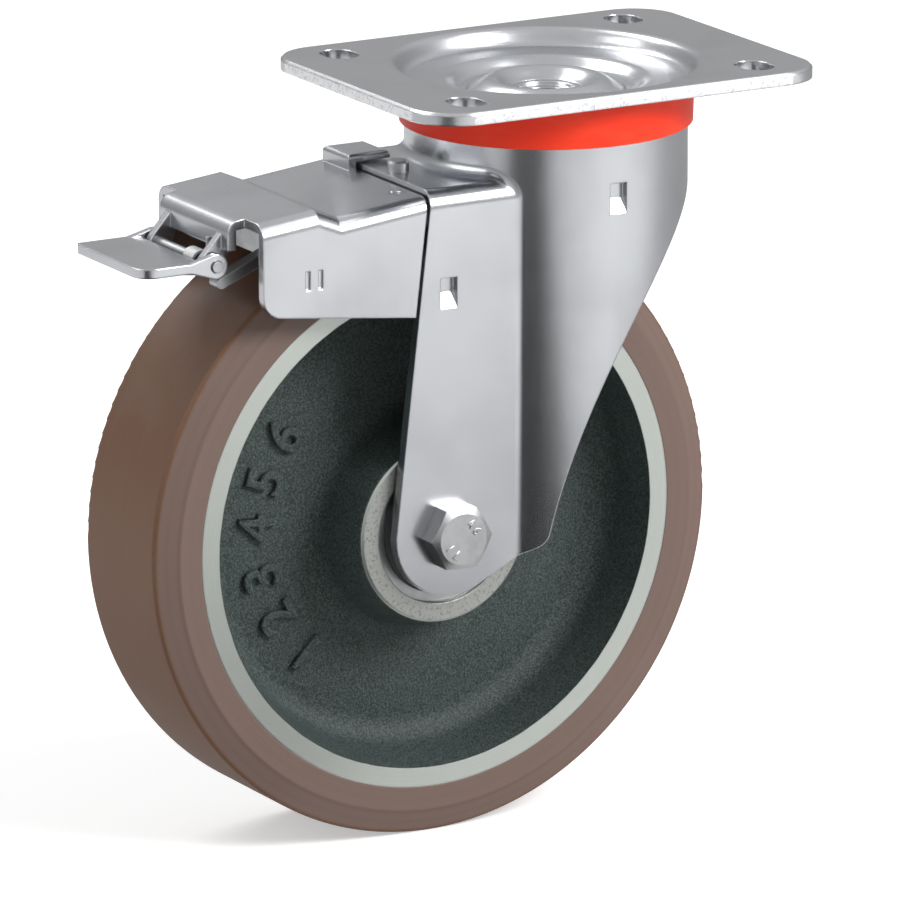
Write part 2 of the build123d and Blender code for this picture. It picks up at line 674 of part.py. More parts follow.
# Leaf spring under the pedal, its tip held down by the fork's roof
leaf_rear = along(pedal_under_line[0], pedal_under_line[1], LEAF_REAR_Y)
leaf_tip_z = ROOF_TOP - SHEET - LEAF_TIP_GAP
with BuildPart() as return_spring:
    with BuildSketch(SIDE_VIEW.offset(LEAF_RIVET[0] - LEAF_WIDTH / 2)):
        Polygon(
            leaf_rear,
            pedal_under_line[0],
            (LEAF_TIP_Y, leaf_tip_z),
            (LEAF_TIP_Y, leaf_tip_z - LEAF_THICK),
            lowered(pedal_under_line[0], LEAF_THICK),
            lowered(leaf_rear, LEAF_THICK),
            align=None,
        )
    extrude(amount=LEAF_WIDTH)
    with Locations((LEAF_RIVET[0], LEAF_RIVET[1], PEDAL_FRONT_TOP)):
        Cylinder(RIVET_R, 4 * PEDAL_SHEET, mode=Mode.SUBTRACT)
save(return_spring, "return_spring")

# Rivet through the pedal and the leaf spring, flush on top and headed below
rivet_top = along(front_top, PEDAL_DIP, LEAF_RIVET[1] - RIVET_R)[1] - FLUSH
rivet_low = along(front_top, PEDAL_DIP, LEAF_RIVET[1] - RIVET_HEAD_R)[1] - PEDAL_SHEET - LEAF_THICK
with BuildPart() as spring_rivet:
    with BuildSketch(Plane.XY.offset(rivet_low)):
        with Locations(LEAF_RIVET):
            Circle(RIVET_R)
    extrude(amount=rivet_top - rivet_low)
    with BuildSketch(Plane.XY.offset(rivet_low)):
        with Locations(LEAF_RIVET):
            Circle(RIVET_HEAD_R)
    extrude(amount=-LEAF_RIVET_HEAD)
save(spring_rivet, "spring_rivet")

# Bracket under the roof, and the lever's pin
roof_under = ROOF_TOP - SHEET
bracket_outer = LEVER_HALF + BRACKET_GAP + BRACKET_SHEET
with BuildPart() as lever_bracket:
    with BuildSketch(Plane.XZ.offset(-BRACKET_FRONT_Y)):
        Polygon(
            (-bracket_outer, roof_under),
            (bracket_outer, roof_under),
            (bracket_outer, BRACKET_LOW),
            (bracket_outer - BRACKET_SHEET, BRACKET_LOW),
            (bracket_outer - BRACKET_SHEET, roof_under - BRACKET_SHEET),
            (BRACKET_SHEET - bracket_outer, roof_under - BRACKET_SHEET),
            (BRACKET_SHEET - bracket_outer, BRACKET_LOW),
            (-bracket_outer, BRACKET_LOW),
            align=None,
        )
    extrude(amount=BRACKET_FRONT_Y - BRACKET_REAR_Y)
    with BuildSketch(SIDE_VIEW.offset(-bracket_outer)):
        with Locations(LEVER_PIVOT):
            Circle(LEVER_PIN_R)
    extrude(amount=2 * bracket_outer, mode=Mode.SUBTRACT)
    with Locations((RIVET_PLACE[0], RIVET_PLACE[1], roof_under)):
        Cylinder(RIVET_R, 2 * SHEET, mode=Mode.SUBTRACT)
save(lever_bracket, "lever_bracket")

# Rivet through the roof and the bracket
with BuildPart() as bracket_rivet:
    with BuildSketch(Plane.XY.offset(ROOF_TOP)):
        with Locations(RIVET_PLACE):
            Circle(RIVET_HEAD_R)
    extrude(amount=RIVET_HEAD)
    chamfer(bracket_rivet.edges().sort_by(Axis.Z)[-1], RIVET_EDGE)
    with BuildSketch(Plane.XY.offset(ROOF_TOP)):
        with Locations(RIVET_PLACE):
            Circle(RIVET_R)
    extrude(amount=-SHEET - BRACKET_SHEET)
save(bracket_rivet, "bracket_rivet")

with BuildPart() as lever_pin:
    with BuildSketch(SIDE_VIEW.offset(-bracket_outer)):
        with Locations(LEVER_PIVOT):
            Circle(LEVER_PIN_R)
    extrude(amount=2 * bracket_outer)
save(lever_pin, "lever_pin")

# Lock lever: a tooth at the front and a lip at the rear that the pedal presses
lever_top = LEVER_PIVOT[1] + LEVER_THICK / 2
lever_low = LEVER_PIVOT[1] - LEVER_THICK / 2
lip_top = along(pedal_under_line[0], pedal_under_line[1], LEVER_REAR_Y)[1] - LEVER_LIP_GAP
with BuildPart() as lock_lever:
    with BuildSketch(SIDE_VIEW):
        Polygon(
            (LEVER_FRONT_Y, lever_low),
            (LEVER_FRONT_Y, LOCK_RING_BOTTOM - TOOTH_GAP),
            (LEVER_FRONT_Y - LEVER_THICK, LOCK_RING_BOTTOM - TOOTH_GAP),
            (LEVER_FRONT_Y - LEVER_THICK, lever_top),
            (LEVER_REAR_Y + LEVER_THICK, lever_top),
            (LEVER_REAR_Y + LEVER_THICK, lip_top),
            (LEVER_REAR_Y, lip_top),
            (LEVER_REAR_Y, lever_low),
            align=None,
        )
    extrude(amount=LEVER_HALF, both=True)
    with BuildSketch(Plane.XY.offset(lever_top + TOUCH)):
        for side in (1, -1):
            with Locations((side * (TOOTH_WIDTH / 2 + LEVER_HALF), LEVER_FRONT_Y)):
                Rectangle(2 * LEVER_HALF, 3 * LEVER_THICK)
    extrude(amount=LEVER_HALF, mode=Mode.SUBTRACT)
    with BuildSketch(SIDE_VIEW.offset(-LEVER_HALF)):
        with Locations(LEVER_PIVOT):
            Circle(LEVER_BARREL_R)
    extrude(amount=2 * LEVER_HALF)
    with BuildSketch(SIDE_VIEW.offset(-LEVER_HALF)):
        with Locations(LEVER_PIVOT):
            Circle(LEVER_PIN_R + RUNNING_GAP)
    extrude(amount=2 * LEVER_HALF, mode=Mode.SUBTRACT)
save(lock_lever, "lock_lever")

# Release blade: a flat tread with an ear at each side, turning on its pin
with BuildPart() as release_blade:
    with BuildSketch(Plane.XY.offset(BLADE_TOP)):
        with Locations((0, BLADE_REAR_Y)):
            Rectangle(2 * BLADE_HALF, BLADE_FRONT_Y - BLADE_REAR_Y, align=FROM_REAR)
    extrude(amount=-BLADE_SHEET)
    rear_corners = release_blade.edges().filter_by(Axis.Z).group_by(Axis.Y)[0].sort_by(Axis.X)
    fillet(rear_corners[-1], BLADE_NEAR_CORNER_R)
    fillet(rear_corners[0], BLADE_FAR_CORNER_R)
    with BuildSketch(SIDE_VIEW.offset(BLADE_HALF - BLADE_EAR)):
        with Locations(BLADE_PIN):
            Circle(BLADE_EAR_R)
        with Locations((BLADE_FRONT_Y - BLADE_EAR_R, BLADE_TOP - BLADE_SHEET / 2)):
            Rectangle(TOUCH, BLADE_SHEET)
        make_hull()
    blade_ear = extrude(amount=BLADE_EAR)
    mirror(blade_ear, about=Plane.YZ)
    with BuildSketch(SIDE_VIEW.offset(-BLADE_HALF)):
        with Locations(BLADE_PIN):
            Circle(BLADE_PIN_R + RUNNING_GAP)
    extrude(amount=2 * BLADE_HALF, mode=Mode.SUBTRACT)
save(release_blade, "release_blade")

with BuildPart() as release_pin:
    with BuildSketch(SIDE_VIEW.offset(-BLADE_HALF - PIN_HEAD)):
        with Locations(BLADE_PIN):
            Circle(BLADE_PIN_R)
    extrude(amount=2 * (BLADE_HALF + PIN_HEAD))
save(release_pin, "release_pin")

# Close-wound torsion spring on the blade's pin, with a leg up behind the tongue's rolled end
coil_mean_r = BLADE_PIN_R + COIL_GAP + COIL_WIRE_R
coil_axis = Axis((COIL_CENTRE_X, BLADE_PIN[0], BLADE_PIN[1]), (1, 0, 0))
coil_plane = Plane(origin=coil_axis.position, z_dir=(0, 0, 1))
leg_place = (COIL_CENTRE_X + COIL_WIRE_R * (COIL_TURNS - 1), BLADE_PIN[0] + coil_mean_r)
with BuildPart() as release_spring:
    with BuildSketch(coil_plane):
        with Locations((0, coil_mean_r)):
            Rectangle(2 * COIL_WIRE_R * (COIL_TURNS - 1), COIL_WIRE_R)
            with GridLocations(2 * COIL_WIRE_R, 1, COIL_TURNS, 1):
                Circle(COIL_WIRE_R)
    revolve(axis=coil_axis)
    with BuildSketch(Plane.XY.offset(BLADE_PIN[1])):
        with Locations(leg_place):
            Circle(COIL_WIRE_R)
    extrude(amount=COIL_LEG)
save(release_spring, "release_spring")

# Wheel core: one casting with rim, dished web and hub, drawn as half a section
with BuildPart() as wheel_core:
    with BuildSketch(WHEEL_SECTION) as core_section:
        Polygon(
            (0, HUB_STEP_R),
            (BEARING_BACK, HUB_STEP_R),
            (BEARING_BACK, BEARING_OUTER_R),
            (HUB_HALF, BEARING_OUTER_R),
            (HUB_HALF, HUB_R - CORE_EDGE),
            (HUB_HALF - CORE_EDGE, HUB_R),
            (WEB_HALF_INNER, HUB_ROOT_R),
            (WEB_HALF_OUTER, RIM_ROOT_R),
            (TREAD_HALF, RIM_R),
            (TREAD_HALF, CORE_R),
            (0, CORE_R),
            align=None,
        )
        web_corners = [
            corner for corner in core_section.vertices()
            if WEB_HALF_OUTER - TOUCH < corner.X < WEB_HALF_INNER + TOUCH
        ]
        fillet(web_corners, WEB_FILLET)
        mirror(about=Plane.YZ)
    revolve(axis=AXLE_LINE)
save(wheel_core, "wheel_core")

# Tread cast round the rim
with BuildPart() as tread:
    with BuildSketch(WHEEL_SECTION) as tread_section:
        Polygon(
            (0, CORE_R),
            (TREAD_HALF, CORE_R),
            (TREAD_HALF, TREAD_SIDE_R),
            (TREAD_FLAT_HALF, WHEEL_R),
            (0, WHEEL_R),
            align=None,
        )
        tread_corners = [
            corner for corner in tread_section.vertices()
            if corner.X > TOUCH and corner.Y > CORE_R + TOUCH
        ]
        fillet(tread_corners, TREAD_EDGE_R)
        mirror(about=Plane.YZ)
    revolve(axis=AXLE_LINE)
save(tread, "tread")

# Bearings and side spacers, one set for each side of the hub
for side, place in BOTH_SIDES:
    for label, inner_r, outer_r, start, length in (
        ("bearing_outer", BEARING_OUTER_R - BEARING_RING, BEARING_OUTER_R, BEARING_BACK, BEARING_WIDTH),
        ("bearing_inner", BEARING_INNER_R, BEARING_INNER_R + BEARING_RING, BEARING_BACK, BEARING_WIDTH),
        ("bearing_seal", SEAL_INNER_R, BEARING_OUTER_R - BEARING_RING, SEAL_START, SEAL_WALL),
        ("side_spacer", BEARING_INNER_R, SPACER_R, BEARING_FACE, LEG_INNER - BEARING_FACE),
    ):
        with BuildPart() as ring:
            with BuildSketch(AXLE.offset(side * start)):
                Circle(outer_r)
                Circle(inner_r, mode=Mode.SUBTRACT)
            extrude(amount=side * length)
        save(ring, f"{label}_{place}")
    with BuildPart() as bearing_balls:
        with Locations(AXLE.offset(side * (BEARING_BACK + BEARING_WIDTH / 2))):
            with PolarLocations(BEARING_PITCH_R, BEARING_BALLS):
                Sphere(BEARING_BALL_R)
    save(bearing_balls, f"bearing_balls_{place}")

# Sleeve between the bearings' inner rings, and the tube that they sit on
for label, inner_r, outer_r, half_length in (
    ("bearing_sleeve", BEARING_INNER_R, BEARING_INNER_R + SLEEVE_WALL, BEARING_BACK),
    ("axle_tube", BOLT_HOLE_R, BEARING_INNER_R, LEG_INNER),
):
    with BuildPart() as tube:
        with BuildSketch(AXLE):
            Circle(outer_r)
            Circle(inner_r, mode=Mode.SUBTRACT)
        extrude(amount=half_length, both=True)
    save(tube, label)

# Axle bolt: a hexagon head with turned corners, and a shank out past the nut
head_corner_r = HEAD_FLATS / sqrt(3)
washer_face = -LEG_HALF - WASHER_THICK
with BuildPart() as axle_bolt:
    with BuildSketch(AXLE.offset(LEG_HALF)):
        RegularPolygon(HEAD_FLATS / 2, HEAD_SIDES, major_radius=False)
    extrude(amount=HEAD_HEIGHT)
    with BuildSketch(WHEEL_SECTION):
        Polygon(
            (LEG_HALF, 0),
            (LEG_HALF, head_corner_r),
            (LEG_HALF + HEAD_HEIGHT - HEAD_CHAMFER / 2, head_corner_r),
            (LEG_HALF + HEAD_HEIGHT, head_corner_r - HEAD_CHAMFER),
            (LEG_HALF + HEAD_HEIGHT, 0),
            align=None,
        )
    revolve(axis=AXLE_LINE, mode=Mode.INTERSECT)
    with BuildSketch(AXLE.offset(LEG_HALF)):
        Circle(BOLT_R)
    extrude(amount=washer_face - NUT_HEIGHT - BOLT_END - LEG_HALF)
save(axle_bolt, "axle_bolt")

with BuildPart() as axle_washer:
    with BuildSketch(AXLE.offset(-LEG_HALF)):
        Circle(WASHER_R)
        Circle(BOLT_HOLE_R, mode=Mode.SUBTRACT)
    extrude(amount=-WASHER_THICK)
save(axle_washer, "axle_washer")

with BuildPart() as axle_nut:
    with BuildSketch(AXLE.offset(washer_face)):
        RegularPolygon(HEAD_FLATS / 2, HEAD_SIDES, major_radius=False)
        Circle(BOLT_R, mode=Mode.SUBTRACT)
    extrude(amount=-NUT_HEIGHT)
save(axle_nut, "axle_nut")
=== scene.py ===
"""Swivel castor: finishes, cast numbers, grade marks and a plain studio round the CAD model."""

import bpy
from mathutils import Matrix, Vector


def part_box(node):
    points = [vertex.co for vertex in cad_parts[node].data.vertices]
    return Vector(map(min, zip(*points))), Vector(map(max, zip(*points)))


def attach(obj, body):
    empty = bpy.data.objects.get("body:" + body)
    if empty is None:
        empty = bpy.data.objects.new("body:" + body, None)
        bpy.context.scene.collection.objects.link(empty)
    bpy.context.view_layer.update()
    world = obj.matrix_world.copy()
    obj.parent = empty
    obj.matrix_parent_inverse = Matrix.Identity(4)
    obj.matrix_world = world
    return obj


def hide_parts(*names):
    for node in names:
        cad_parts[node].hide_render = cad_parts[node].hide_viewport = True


bl_info = {
    "name": "Swivel Castor Finishes",
    "version": (1, 0, 0),
    "blender": (4, 5, 0),
    "location": "3D View > Sidebar > Castor",
    "description": "Finishes, cast numbers and a plain studio for a swivel castor",
    "category": "Object",
}

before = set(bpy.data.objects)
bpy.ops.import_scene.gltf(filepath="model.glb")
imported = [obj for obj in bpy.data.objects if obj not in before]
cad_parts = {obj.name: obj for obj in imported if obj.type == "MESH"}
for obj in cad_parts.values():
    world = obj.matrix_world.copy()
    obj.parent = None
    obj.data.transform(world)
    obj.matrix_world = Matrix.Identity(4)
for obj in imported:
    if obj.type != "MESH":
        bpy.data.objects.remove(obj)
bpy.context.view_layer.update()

from math import cos, pi, radians, sin

import bpy
from mathutils import Matrix, Vector

MM = 0.001

# Sizes of the CAD model that finishes and numbers follow
AXLE = Vector((0, -0.054, -0.140))
PLATE_SHEET = 4 * MM
RIM_FACE, RIM_INNER_RADIUS = 25 * MM, 78 * MM
HUB_FACE, HUB_RADIUS = 28.5 * MM, 30.8 * MM
BEARING_BORE_RADIUS = 23.8 * MM
TREAD_FLAT_HALF = 22 * MM
WEB_OUTER, WEB_OUTER_RADIUS = 4.5 * MM, 73 * MM
WEB_INNER, WEB_INNER_RADIUS = 7 * MM, 35 * MM

# Each number with its angle in degrees: on the web from the top of the wheel, on the bolt from +Y
WHEEL_DIGITS = (("1", 137), ("2", 120), ("3", 104), ("4", 87), ("5", 71), ("6", 55))
BOLT_DIGITS = (("4", 62), ("6", 24), ("1", 206), ("7", 242))

# The photo's square frame in pixels, and how far right of and above the castor's middle its own lies
FRAME_PIXELS = 900
FRAME_SHIFT = (-22, -165)

# Nodes that share a finish
SHEET_NODES = ("top_plate", "fork", "brake_pedal", "release_blade", "lever_bracket", "spring_rivet")
STEEL_NODES = (
    "kingpin", "race_sleeve", "lower_race", "lock_ring", "upper_balls", "lower_balls", "lever_pin",
    "axle_bolt", "axle_tube", "axle_washer", "axle_nut", "bearing_inner_near", "bearing_inner_far",
    "bearing_outer_near", "bearing_outer_far", "bearing_balls_near", "bearing_balls_far",
    "bearing_sleeve", "side_spacer_near", "side_spacer_far", "return_spring", "bracket_rivet",
    "release_pin", "release_spring", "lock_lever", "brake_shoe",
)
RUBBER_NODES = ("bearing_seal_near", "bearing_seal_far")


def colour(name, description, default):
    """A colour that a user may change."""
    return bpy.props.FloatVectorProperty(
        name=name, description=description, default=default, subtype="COLOR", size=3, min=0, max=1
    )


def length(name, description, default):
    """A length that a user may change."""
    return bpy.props.FloatProperty(
        name=name, description=description, default=default, unit="LENGTH", precision=4, min=0
    )


def share(name, description, default):
    """A number from 0 to 1 that a user may change."""
    return bpy.props.FloatProperty(
        name=name, description=description, default=default, subtype="FACTOR", min=0, max=1
    )


def power(name, description, default):
    """A lamp's power that a user may change."""
    return bpy.props.FloatProperty(name=name, description=description, default=default, min=0)


class CastorFinish(bpy.types.PropertyGroup):
    """Colours and roughness of the castor's surfaces."""

    zinc: colour("Zinc", "Zinc plating on the pressed sheets", (0.568, 0.579, 0.603))
    zinc_dull: colour("Dull zinc", "Cloudy parts of the plating", (0.495, 0.505, 0.527))
    zinc_rough: share("Zinc roughness", "Roughness of the plating", 0.23)
    # The cut edge's colour is partly bare cut metal and partly a painted highlight
    cut_edge_and_highlight: colour("Sheared edge", "Cut edge of the mounting plate", (0.84, 0.85, 0.87))
    steel: colour("Steel", "Turned and rolled steel", (0.56, 0.57, 0.58))
    machined: colour("Machined iron", "Turned faces of the wheel centre", (0.60, 0.63, 0.59))
    paint: colour("Paint", "Paint on the cast wheel centre", (0.084, 0.111, 0.106))
    paint_dark: colour("Dark paint", "Paint in the pits of the casting", (0.020, 0.030, 0.028))
    tread: colour("Tread", "Running face of the tread", (0.155, 0.076, 0.042))
    # The tread side's colour is greyer than the running face: partly its turned finish, partly a painted
    # sheen from the light it faces
    tread_side_and_sheen: colour("Tread side", "Turned side of the tread", (0.165, 0.110, 0.091))
    seal: colour("Seal", "Dust seal under the plate", (0.98, 0.036, 0.007))
    rubber: colour("Rubber", "Seals of the wheel bearings", (0.090, 0.094, 0.094))


class CastorNumbers(bpy.types.PropertyGroup):
    """Raised numbers on the wheel centre and on the bolt."""

    wheel_height: length("Wheel number height", "Height of the cast numbers", 17.5 * MM)
    wheel_radius: length("Wheel number radius", "Axle to the middle of the numbers", 54 * MM)
    wheel_relief: length("Wheel number relief", "How far the cast numbers stand up", 1.7 * MM)
    grade_height: length("Grade height", "Height of the bolt's grade numbers", 4.4 * MM)
    grade_relief: length("Grade relief", "How far the grade numbers stand up", 0.28 * MM)
    grade_radius: length("Grade radius", "Bolt's axis to the middle of the grade numbers", 5.2 * MM)


class CastorKingpin(bpy.types.PropertyGroup):
    """Flare of the hollow kingpin."""

    radius: length("Radius", "Outer radius of the kingpin's shank", 11 * MM)
    bore: length("Bore", "Radius of the kingpin's bore", 7.5 * MM)
    sheet: length("Sheet", "Thickness of the plate that it holds", PLATE_SHEET)
    skirt: length("Skirt", "Radius at which the flare meets the dish", 25.5 * MM)


class CastorStudio(bpy.types.PropertyGroup):
    """Camera and light."""

    azimuth: bpy.props.FloatProperty(
        name="Azimuth", description="Camera's turn round the castor", default=radians(60), subtype="ANGLE"
    )
    elevation: bpy.props.FloatProperty(
        name="Elevation", description="Camera's height angle", default=radians(14.8), subtype="ANGLE"
    )
    distance: length("Distance", "Camera to castor", 3.0)
    pixels_per_metre: bpy.props.FloatProperty(
        name="Scale", description="Pixels for a metre at the castor in a 900-pixel frame", default=3160
    )
    key_power: power("Key power", "Power of the key softbox", 72)
    fill_power: power("Fill power", "Power of the fill softbox", 7)
    top_power: power("Top power", "Power of the top softbox", 1.6)
    rear_power: power("Rear power", "Power of the rear softbox", 12)


# ---- shader helpers


def new_material(name):
    """A fresh material, its node tree and its surface shader."""
    material = bpy.data.materials.new(name)
    material.use_nodes = True
    tree = material.node_tree
    return material, tree, tree.nodes["Principled BSDF"]


def node(tree, kind, inputs=None, **settings):
    """A shader node with its settings made and its inputs set or linked."""
    made = tree.nodes.new(kind)
    for key, value in settings.items():
        setattr(made, key, value)
    for key, value in (inputs or {}).items():
        if isinstance(value, bpy.types.NodeSocket):
            tree.links.new(value, made.inputs[key])
        else:
            made.inputs[key].default_value = value
    return made


def calc(tree, operation, first, second=0.0, third=0.0):
    """A sum on one or more sockets or numbers."""
    inputs = {0: first, 1: second, 2: third}
    return node(tree, "ShaderNodeMath", inputs, operation=operation).outputs[0]


def vector_calc(tree, operation, first, second=(0, 0, 0)):
    """A sum on vectors."""
    made = node(tree, "ShaderNodeVectorMath", {0: first, 1: second}, operation=operation)
    return made.outputs["Value" if operation == "LENGTH" else "Vector"]


def blended(tree, factor, first, second):
    """One colour mixed into another."""
    made = node(tree, "ShaderNodeMix", data_type="RGBA")
    for index, value in ((0, factor), (6, first), (7, second)):
        if isinstance(value, bpy.types.NodeSocket):
            tree.links.new(value, made.inputs[index])
        elif index:
            made.inputs[index].default_value = (*value, 1)
        else:
            made.inputs[index].default_value = value
    return made.outputs[2]


def smooth(tree, value, low, high, out_low=0.0, out_high=1.0):
    """A soft step from low to high."""
    inputs = {"Value": value, "From Min": low, "From Max": high, "To Min": out_low, "To Max": out_high}
    return node(tree, "ShaderNodeMapRange", inputs, interpolation_type="SMOOTHSTEP").outputs[0]


def noise(tree, vector, scale, detail=2.0, roughness=0.5):
    """Fractal noise at points in space."""
    inputs = {"Vector": vector, "Scale": scale, "Detail": detail, "Roughness": roughness}
    return node(tree, "ShaderNodeTexNoise", inputs).outputs[0]


def rings(tree, value, scale, detail=2.0):
    """Noise along one value, which gives the rings that a lathe leaves."""
    inputs = {"W": value, "Scale": scale, "Detail": detail}
    return node(tree, "ShaderNodeTexNoise", inputs, noise_dimensions="1D").outputs[0]


def bump(tree, height, strength, distance, normal=None):
    """A bump that adds to the normal given."""
    inputs = {"Height": height, "Strength": strength, "Distance": distance}
    if normal is not None:
        inputs["Normal"] = normal
    return node(tree, "ShaderNodeBump", inputs).outputs[0]


def rounded(tree, radius):
    """The normal with sharp edges rounded to a radius."""
    return node(tree, "ShaderNodeBevel", {"Radius": radius}, samples=6).outputs[0]


def here(tree):
    """Object coordinates, which are the castor's own frame."""
    return node(tree, "ShaderNodeTexCoord").outputs["Object"]


def axis_values(tree, vector):
    """The three coordinates of a vector."""
    return node(tree, "ShaderNodeSeparateXYZ", {0: vector}).outputs


def axle_radius(tree, vector):
    """Distance from the wheel's axle."""
    from_axle = vector_calc(tree, "SUBTRACT", vector, AXLE)
    across = vector_calc(tree, "MULTIPLY", from_axle, (0, 1, 1))
    return vector_calc(tree, "LENGTH", across)


def edge_wear(tree, radius):
    """A mask that is 1 where an edge is within a radius."""
    normals = {0: rounded(tree, radius), 1: node(tree, "ShaderNodeNewGeometry").outputs["Normal"]}
    turned = node(tree, "ShaderNodeVectorMath", normals, operation="DOT_PRODUCT").outputs["Value"]
    return smooth(tree, turned, 0.98, 0.80)


def masked(tree, *masks):
    """The place where all masks are 1."""
    whole, *others = masks
    for mask in others:
        whole = calc(tree, "MULTIPLY", whole, mask)
    return whole


def dress(material, names):
    """Gives CAD nodes a finish."""
    for name in names:
        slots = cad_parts[name].data.materials
        slots.clear()
        slots.append(material)


# ---- finishes


def zinc_material(finish):
    """Bright zinc plating on drawn sheet: cloudy, faintly pebbled, with paler rubbed edges."""
    material, tree, surface = new_material("zinc_plated_sheet")
    point = here(tree)
    cloud = noise(tree, point, 26, 3, 0.5)
    drawn = noise(tree, vector_calc(tree, "MULTIPLY", point, (1, 1, 0.12)), 500, 3, 0.6)
    pebble = noise(tree, point, 1100, 2, 0.5)
    wave = noise(tree, point, 45, 1, 0.3)
    worn = edge_wear(tree, 0.9 * MM)
    rubbed_zinc = (0.80, 0.81, 0.82)
    base = blended(tree, smooth(tree, cloud, 0.38, 0.72), finish.zinc, finish.zinc_dull)
    base = blended(tree, calc(tree, "MULTIPLY", worn, 0.35), base, rubbed_zinc)

    # The plate's cut edge, flecked by the shear and coloured pale: partly the bare cut metal, partly a
    # painted highlight along the edge
    plate_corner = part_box("top_plate")[1]
    coords = axis_values(tree, point)
    near_x, near_y = (
        smooth(tree, calc(tree, "ABSOLUTE", coords[axis]), half - 0.15 * MM, half - 0.05 * MM)
        for axis, half in (("X", plate_corner.x), ("Y", plate_corner.y))
    )
    on_plate = smooth(tree, coords["Z"], -PLATE_SHEET - 0.3 * MM, -PLATE_SHEET - 0.2 * MM)
    cut = masked(tree, calc(tree, "MAXIMUM", near_x, near_y), on_plate)
    fleck = noise(tree, vector_calc(tree, "MULTIPLY", point, (1, 1, 0.8)), 1300, 4, 0.75)
    fleck_grey = (0.42, 0.42, 0.43)
    flecked = blended(tree, smooth(tree, fleck, 0.52, 0.66), finish.cut_edge_and_highlight, fleck_grey)
    base = blended(tree, cut, base, flecked)
    tree.links.new(base, surface.inputs["Base Color"])
    surface.inputs["Metallic"].default_value = 1.0
    rough = calc(tree, "MULTIPLY_ADD", cloud, 0.08, finish.zinc_rough - 0.04)
    rough = calc(tree, "MULTIPLY_ADD", drawn, 0.05, rough)
    tree.links.new(rough, surface.inputs["Roughness"])
    normal = bump(tree, wave, 0.35, 0.25 * MM, rounded(tree, 0.7 * MM))
    normal = bump(tree, drawn, 0.15, 0.02 * MM, normal)
    normal = bump(tree, pebble, 0.3, 0.014 * MM, normal)
    tree.links.new(normal, surface.inputs["Normal"])
    return material


def steel_material(finish):
    """Turned steel with fine tool marks."""
    material, tree, surface = new_material("bright_turned_steel")
    point = here(tree)
    cloud = noise(tree, point, 160, 3, 0.6)
    fine = noise(tree, point, 2600, 2, 0.6)
    worn = edge_wear(tree, 0.5 * MM)
    dull_steel, rubbed_steel = (0.47, 0.48, 0.49), (0.78, 0.78, 0.78)
    base = blended(tree, smooth(tree, cloud, 0.35, 0.7), finish.steel, dull_steel)
    base = blended(tree, calc(tree, "MULTIPLY", worn, 0.5), base, rubbed_steel)
    tree.links.new(base, surface.inputs["Base Color"])
    surface.inputs["Metallic"].default_value = 1.0
    tree.links.new(calc(tree, "MULTIPLY_ADD", cloud, 0.16, 0.28), surface.inputs["Roughness"])
    normal = bump(tree, fine, 0.4, 0.02 * MM, rounded(tree, 0.35 * MM))
    tree.links.new(normal, surface.inputs["Normal"])
    return material


